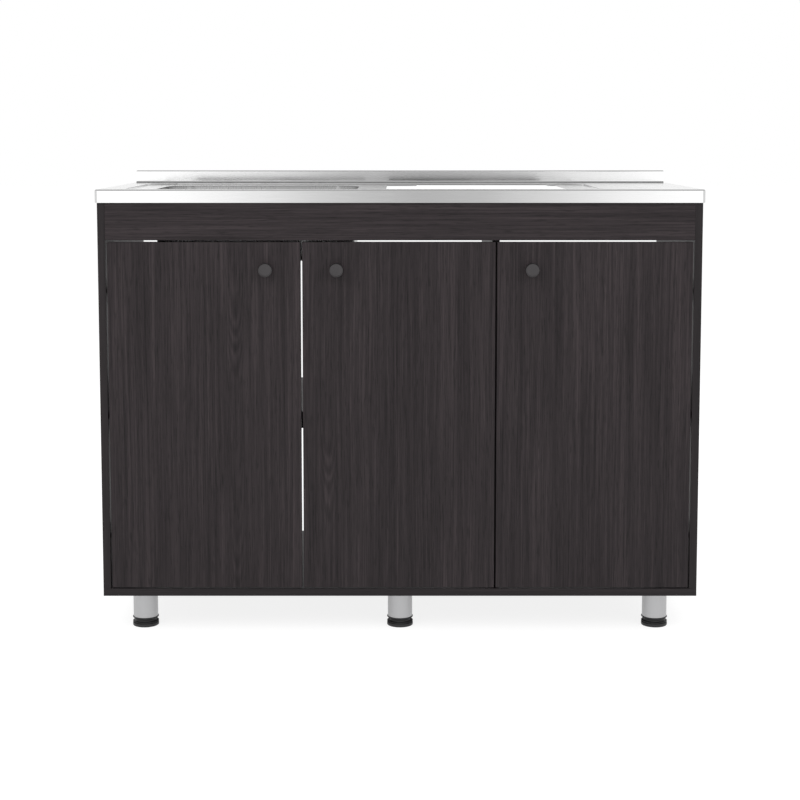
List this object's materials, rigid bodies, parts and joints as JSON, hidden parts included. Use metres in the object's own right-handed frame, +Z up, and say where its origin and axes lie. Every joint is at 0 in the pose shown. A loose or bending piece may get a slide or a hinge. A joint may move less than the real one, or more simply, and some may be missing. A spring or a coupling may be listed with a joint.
{
  "type": "base cabinet with sink worktop",
  "caption": "Floor-standing kitchen base cabinet with hinged board doors, round knobs, levelling feet and a pressed steel worktop holding a sink bowl and a hob cut-out.",
  "frame": {"origin": "middle of the footprint at floor level, under the feet", "axes": "+X along the worktop to the right of someone facing the doors, +Y to the wall, +Z up"},
  "size_m": [1.2, 0.54, 0.923],
  "materials": {
    "board": "dark melamine, satin grain",
    "door_board": "dark melamine, satin grain",
    "beech": "plain beech",
    "steel_sheet": "polished stainless sheet",
    "bright_steel": "bright plated",
    "zinc_steel": "zinc plated",
    "nickel_steel": "nickel plated",
    "fitting_metal": "zinc plated",
    "knob_metal": "dark satin, bright rim",
    "leg_tube": "satin aluminium",
    "black_plastic": "moulded",
    "seal": "matt"
  },
  "bodies": {
    "carcass": {"left_side_panel": "board", "right_side_panel": "board", "bottom_panel": "board", "centre_partition": "board", "front_top_rail": "board", "rear_rail": "board", "left_shelf": "board", "right_shelf": "board", "cam_discs": "fitting_metal", "cam_bolts": "fitting_metal", "bottom_screws": "fitting_metal", "bracket_screws": "fitting_metal", "plug_screws": "fitting_metal", "partition_dowels": "beech", "worktop_sheet": "steel_sheet", "sink_bowl": "steel_sheet", "strainer_body": "bright_steel", "strainer_gasket": "seal", "strainer_locknut": "black_plastic", "leg_plugs": "black_plastic", "leg_sockets": "black_plastic", "worktop_brackets": "zinc_steel", "left_plate_screws": "fitting_metal", "left_hinge_arms": "nickel_steel", "left_hinge_plates": "nickel_steel", "middle_plate_screws": "fitting_metal", "middle_hinge_arms": "nickel_steel", "middle_hinge_plates": "nickel_steel", "right_plate_screws": "fitting_metal", "right_hinge_arms": "nickel_steel", "right_hinge_plates": "nickel_steel", "front_left_leg": "leg_tube", "front_middle_leg": "leg_tube", "front_right_leg": "leg_tube", "rear_left_leg": "leg_tube", "rear_middle_leg": "leg_tube", "rear_right_leg": "leg_tube"},
    "left_door_body": {"left_door": "door_board", "left_knob": "knob_metal", "left_knob_screw": "fitting_metal", "left_hinge_cups": "nickel_steel", "left_cup_screws": "fitting_metal"},
    "middle_door_body": {"middle_door": "door_board", "middle_knob": "knob_metal", "middle_knob_screw": "fitting_metal", "middle_hinge_cups": "nickel_steel", "middle_cup_screws": "fitting_metal"},
    "right_door_body": {"right_door": "door_board", "right_knob": "knob_metal", "right_knob_screw": "fitting_metal", "right_hinge_cups": "nickel_steel", "right_cup_screws": "fitting_metal"},
    "front_left_foot_body": {"front_left_foot": "black_plastic"},
    "front_middle_foot_body": {"front_middle_foot": "black_plastic"},
    "front_right_foot_body": {"front_right_foot": "black_plastic"},
    "rear_left_foot_body": {"rear_left_foot": "black_plastic"},
    "rear_middle_foot_body": {"rear_middle_foot": "black_plastic"},
    "rear_right_foot_body": {"rear_right_foot": "black_plastic"}
  },
  "joints": [
    {"name": "left_door_hinge", "type": "hinge", "parent": "carcass", "child": "left_door_body", "pos_m": [-0.5675, -0.238, 0.445], "axis": [0, 0, -1], "range_deg": [0, 95]},
    {"name": "middle_door_hinge", "type": "hinge", "parent": "carcass", "child": "middle_door_body", "pos_m": [0.178, -0.238, 0.445], "axis": [0, 0, 1], "range_deg": [0, 95]},
    {"name": "right_door_hinge", "type": "hinge", "parent": "carcass", "child": "right_door_body", "pos_m": [0.5675, -0.238, 0.445], "axis": [0, 0, 1], "range_deg": [0, 95]},
    {"name": "front_left_foot_screw", "type": "slide", "parent": "carcass", "child": "front_left_foot_body", "axis": [0, 0, -1], "range_m": [0, 0.012]},
    {"name": "front_middle_foot_screw", "type": "slide", "parent": "carcass", "child": "front_middle_foot_body", "axis": [0, 0, -1], "range_m": [0, 0.012]},
    {"name": "front_right_foot_screw", "type": "slide", "parent": "carcass", "child": "front_right_foot_body", "axis": [0, 0, -1], "range_m": [0, 0.012]},
    {"name": "rear_left_foot_screw", "type": "slide", "parent": "carcass", "child": "rear_left_foot_body", "axis": [0, 0, -1], "range_m": [0, 0.012]},
    {"name": "rear_middle_foot_screw", "type": "slide", "parent": "carcass", "child": "rear_middle_foot_body", "axis": [0, 0, -1], "range_m": [0, 0.012]},
    {"name": "rear_right_foot_screw", "type": "slide", "parent": "carcass", "child": "rear_right_foot_body", "axis": [0, 0, -1], "range_m": [0, 0.012]}
  ]
}
